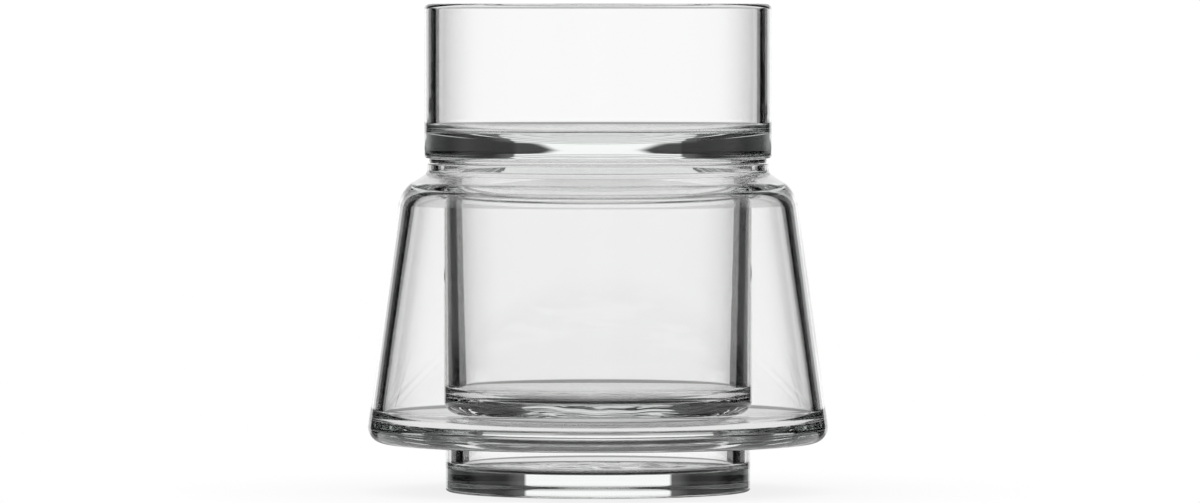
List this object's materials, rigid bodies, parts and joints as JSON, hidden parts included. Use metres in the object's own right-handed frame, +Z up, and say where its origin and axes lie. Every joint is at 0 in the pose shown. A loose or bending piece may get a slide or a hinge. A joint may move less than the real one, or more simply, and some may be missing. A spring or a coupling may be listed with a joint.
{
  "type": "nested cortado glass",
  "caption": "Clear glass cortado set: a straight cup hangs by a flange in the neck of a skirted, footed outer glass, and a short wide cup stands on top of it.",
  "frame": {"origin": "centre of the foot's underside, on the table", "axes": "+Z up along the axis that every piece is turned about; +X to the right and +Y away from the viewer in the picture"},
  "size_m": [0.092, 0.092, 0.0975],
  "materials": {
    "outer_glass": "clear polished glass",
    "inner_cup": "clear polished glass",
    "top_cup": "clear polished glass"
  },
  "bodies": {
    "outer_glass": {"outer_glass": "outer_glass"},
    "inner_cup": {"inner_cup": "inner_cup"},
    "top_cup": {"top_cup": "top_cup"}
  },
  "joints": [
    {"name": "inner_cup_lift", "type": "slide", "parent": "outer_glass", "child": "inner_cup", "axis": [0, 0, 1], "range_m": [0, 0.055]},
    {"name": "top_cup_lift", "type": "slide", "parent": "inner_cup", "child": "top_cup", "axis": [0, 0, 1], "range_m": [0, 0.04]}
  ]
}
